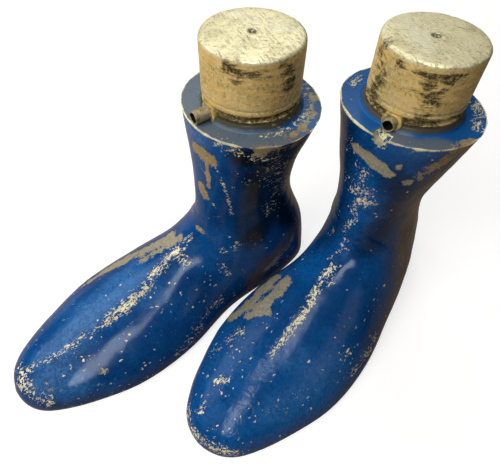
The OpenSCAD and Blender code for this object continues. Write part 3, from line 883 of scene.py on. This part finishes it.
class FORMS_OT_tubes(bpy.types.Operator):
    """Make the open vent tubes"""

    bl_idname = "forms.tubes"
    bl_label = "Vent tubes"

    def execute(self, context):
        tube = context.scene.forms_tube
        metal = dull_metal("drawn_tube", tube.metal, 0.3 * tube.metal, 0.55, "soot_and_shade")
        for side, reach in zip(SIDES, tube.reach):
            bm = bmesh.new()
            self.draw_tube(bm, tube, reach)
            self.batter(bm, reach)
            self.blacken(bm, tube)
            bmesh.ops.transform(bm, matrix=tube_run(side, tube), verts=bm.verts)
            dress(keep(bm, side + "_tube", side + "_vent_tube"), metal, 40)
        return {"FINISHED"}

    def draw_tube(self, bm, tube, reach):
        """Spins the wall of a tube with a broken edge at its open end."""
        profile = [(tube.inner, tube.bore), (tube.inner, tube.radius)]
        profile += [(x, tube.radius) for x in np.linspace(tube.inner, reach - TUBE_LIP, 12)[1:]]
        profile += [(reach, tube.radius - TUBE_LIP), (reach, tube.bore + TUBE_LIP)]
        profile += [(x, tube.bore) for x in np.linspace(reach - TUBE_LIP, tube.inner, 12)[:-1]]
        chain = [bm.verts.new((x, 0, r)) for x, r in profile]
        edges = [bm.edges.new(pair) for pair in zip(chain, chain[1:] + chain[:1])]
        spun(bm, chain, edges, (0, 0, 0), (1, 0, 0), 64)

    def batter(self, bm, reach):
        """Leaves the open end uneven and a little out of round."""
        for vert in bm.verts:
            end = max(0.0, (vert.co.x - reach + TUBE_END) / TUBE_END)
            vert.co.x -= TUBE_DENT * end * (0.5 + noise.noise(vert.co * 300))
            vert.co.y *= 1 - 0.03 * end

    def blacken(self, bm, tube):
        """Marks painted shade in the bore, and sooty black with painted shade at the root."""
        soot_and_shade = bm.verts.layers.float.new("soot_and_shade")
        for vert in bm.verts:
            in_bore = math.hypot(vert.co.y, vert.co.z) < tube.bore + 0.0002
            vert[soot_and_shade] = 1.0 if in_bore else max(0.0, 1 - (vert.co.x - SOOT_SHADE_START) / SOOT_SHADE_FADE)


class FORMS_OT_bosses(bpy.types.Operator):
    """Make the rough bosses that hold the tubes"""

    bl_idname = "forms.bosses"
    bl_label = "Tube bosses"

    def execute(self, context):
        post = context.scene.forms_post
        metal = dull_metal("rough_boss", 0.8 * post.metal, 0.25 * post.metal, 0.3)
        for side in SIDES:
            bm = merged_copy(side + "_tube_boss")
            bmesh.ops.dissolve_limit(bm, angle_limit=math.radians(2), verts=bm.verts, edges=bm.edges)
            bmesh.ops.bevel(bm, geom=sharp_edges(bm, 40), offset=BOSS_EDGE, offset_type="OFFSET", affect="EDGES",
                            segments=2, profile=0.5, material=-1, clamp_overlap=True)
            dress(keep(bm, side + "_boss_rough", side + "_tube_boss"), metal, 30)
        return {"FINISHED"}


class FORMS_OT_inner(bpy.types.Operator):
    """Finish the gaskets, tie rods and lock nuts that the frame brings"""

    bl_idname = "forms.inner"
    bl_label = "Gaskets, rods and nuts"

    def execute(self, context):
        steel = dull_metal("plain_steel", (0.33, 0.32, 0.3), (0.12, 0.09, 0.06), 0.8)
        sheet = fibre("gasket_fibre", (0.1, 0.075, 0.05))
        for side in SIDES:
            for node, material in (("tie_rod", steel), ("lock_nut", steel), ("seat_gasket", sheet)):
                piece = frame["nodes"][side + "_" + node]
                piece.data.materials.clear()
                piece.data.materials.append(material)
        return {"FINISHED"}


class FORMS_OT_stage(bpy.types.Operator):
    """Set the floor, the lights and the camera"""

    bl_idname = "forms.stage"
    bl_label = "Stage"

    def execute(self, context):
        stage = context.scene.forms_stage
        context.scene.view_settings.view_transform = "Standard"
        self.floor(stage)
        self.sky(context, stage)
        for name, setting, share, *rest in LAMPS:
            self.lamp(name, share * getattr(stage, setting), *rest)
        self.camera(context, stage)
        return {"FINISHED"}

    def floor(self, stage):
        """A pale floor that keeps the shadow and throws little light back."""
        bm = bmesh.new()
        bmesh.ops.create_grid(bm, x_segments=8, y_segments=8, size=6)
        bmesh.ops.translate(bm, vec=(0, 0, -0.0004), verts=bm.verts)
        plane = solid(bm, "floor")
        s = Shader("pale_floor")
        far = s.vector("LENGTH", s.place)
        white = s.add("AddShader")
        glow = s.add("Emission", Color=(1, 1, 1), Strength=s.ramp(far, 0.4, 1.8, 0.72, 1.0))
        s.fill_all(white.node.inputs, (s.add("BsdfDiffuse", Color=0.5 * stage.floor), glow))
        thrown = s.mix(s.add("LightPath", "Is Glossy Ray"), FLOOR_DULL, FLOOR_SHINE)
        choice = s.add("MixShader", Fac=s.add("LightPath", "Is Camera Ray"))
        s.fill_all(choice.node.inputs[1:], (s.add("BsdfDiffuse", Color=thrown), white))
        plane.data.materials.append(s.close(choice))

    def sky(self, context, stage):
        """Soft light from all round, white where it is seen."""
        world = bpy.data.worlds.new("studio")
        world.use_nodes = True
        context.scene.world = world
        tree = world.node_tree
        tree.nodes.clear()
        path, dim, white, choice, out = (tree.nodes.new("ShaderNode" + kind) for kind in (
            "LightPath", "Background", "Background", "MixShader", "OutputWorld"))
        dim.inputs["Color"].default_value = (0.95, 0.98, 1, 1)
        dim.inputs["Strength"].default_value = stage.sky
        white.inputs["Color"].default_value = (1, 1, 1, 1)
        tree.links.new(path.outputs["Is Camera Ray"], choice.inputs[0])
        tree.links.new(dim.outputs[0], choice.inputs[1])
        tree.links.new(white.outputs[0], choice.inputs[2])
        tree.links.new(choice.outputs[0], out.inputs["Surface"])

    def lamp(self, name, power, place, size, colour, shine, diffuse):
        """A soft light that faces the forms."""
        data = bpy.data.lights.new(name, "AREA")
        data.shape, data.energy, data.color = "RECTANGLE", power, colour
        data.size, data.size_y = size
        lamp = linked(name, data)
        lamp.location = place
        lamp.rotation_euler = (Vector((0, 0, LAMP_AIM)) - lamp.location).to_track_quat("-Z", "Y").to_euler()
        lamp.visible_glossy, lamp.visible_diffuse = shine, diffuse

    def camera(self, context, stage):
        """The camera of the picture."""
        data = bpy.data.cameras.new("camera")
        data.lens, data.sensor_width, data.clip_start = stage.lens, 36, 0.01
        camera = linked("camera", data)
        back = -Vector(stage.ahead).normalized()
        right = Vector(stage.right).normalized()
        turn = Matrix((right, back.cross(right), back)).transposed()
        camera.matrix_world = Matrix.Translation(stage.place) @ turn.to_4x4()
        context.scene.camera = camera


STEPS = (FORMS_OT_castings, FORMS_OT_posts, FORMS_OT_tubes, FORMS_OT_bosses, FORMS_OT_inner, FORMS_OT_stage)
GROUPS = {"forms_casting": CastingFinish, "forms_post": PostShape, "forms_tube": TubeShape,
          "forms_stage": StageSettings}


class FORMS_PT_panel(bpy.types.Panel):
    """Lists the sizes, colours and steps of the foot forms"""

    bl_idname = "FORMS_PT_panel"
    bl_label = "Foot forms"
    bl_space_type = "VIEW_3D"
    bl_region_type = "UI"
    bl_category = "Foot forms"

    def draw(self, context):
        for name, group in GROUPS.items():
            box = self.layout.box()
            for field in group.__annotations__:
                box.prop(getattr(context.scene, name), field)
        for step in STEPS:
            self.layout.operator(step.bl_idname)


def register():
    for group in GROUPS.values():
        bpy.utils.register_class(group)
    for name, group in GROUPS.items():
        setattr(bpy.types.Scene, name, bpy.props.PointerProperty(type=group))
    for step in STEPS:
        bpy.utils.register_class(step)
    bpy.utils.register_class(FORMS_PT_panel)


def unregister():
    bpy.utils.unregister_class(FORMS_PT_panel)
    for step in reversed(STEPS):
        bpy.utils.unregister_class(step)
    for name in GROUPS:
        delattr(bpy.types.Scene, name)
    for group in reversed(GROUPS.values()):
        bpy.utils.unregister_class(group)


def main():
    register()
    bpy.ops.forms.castings()
    bpy.ops.forms.posts()
    bpy.ops.forms.tubes()
    bpy.ops.forms.bosses()
    bpy.ops.forms.inner()
    bpy.ops.forms.stage()


if __name__ == "__main__":
    main()
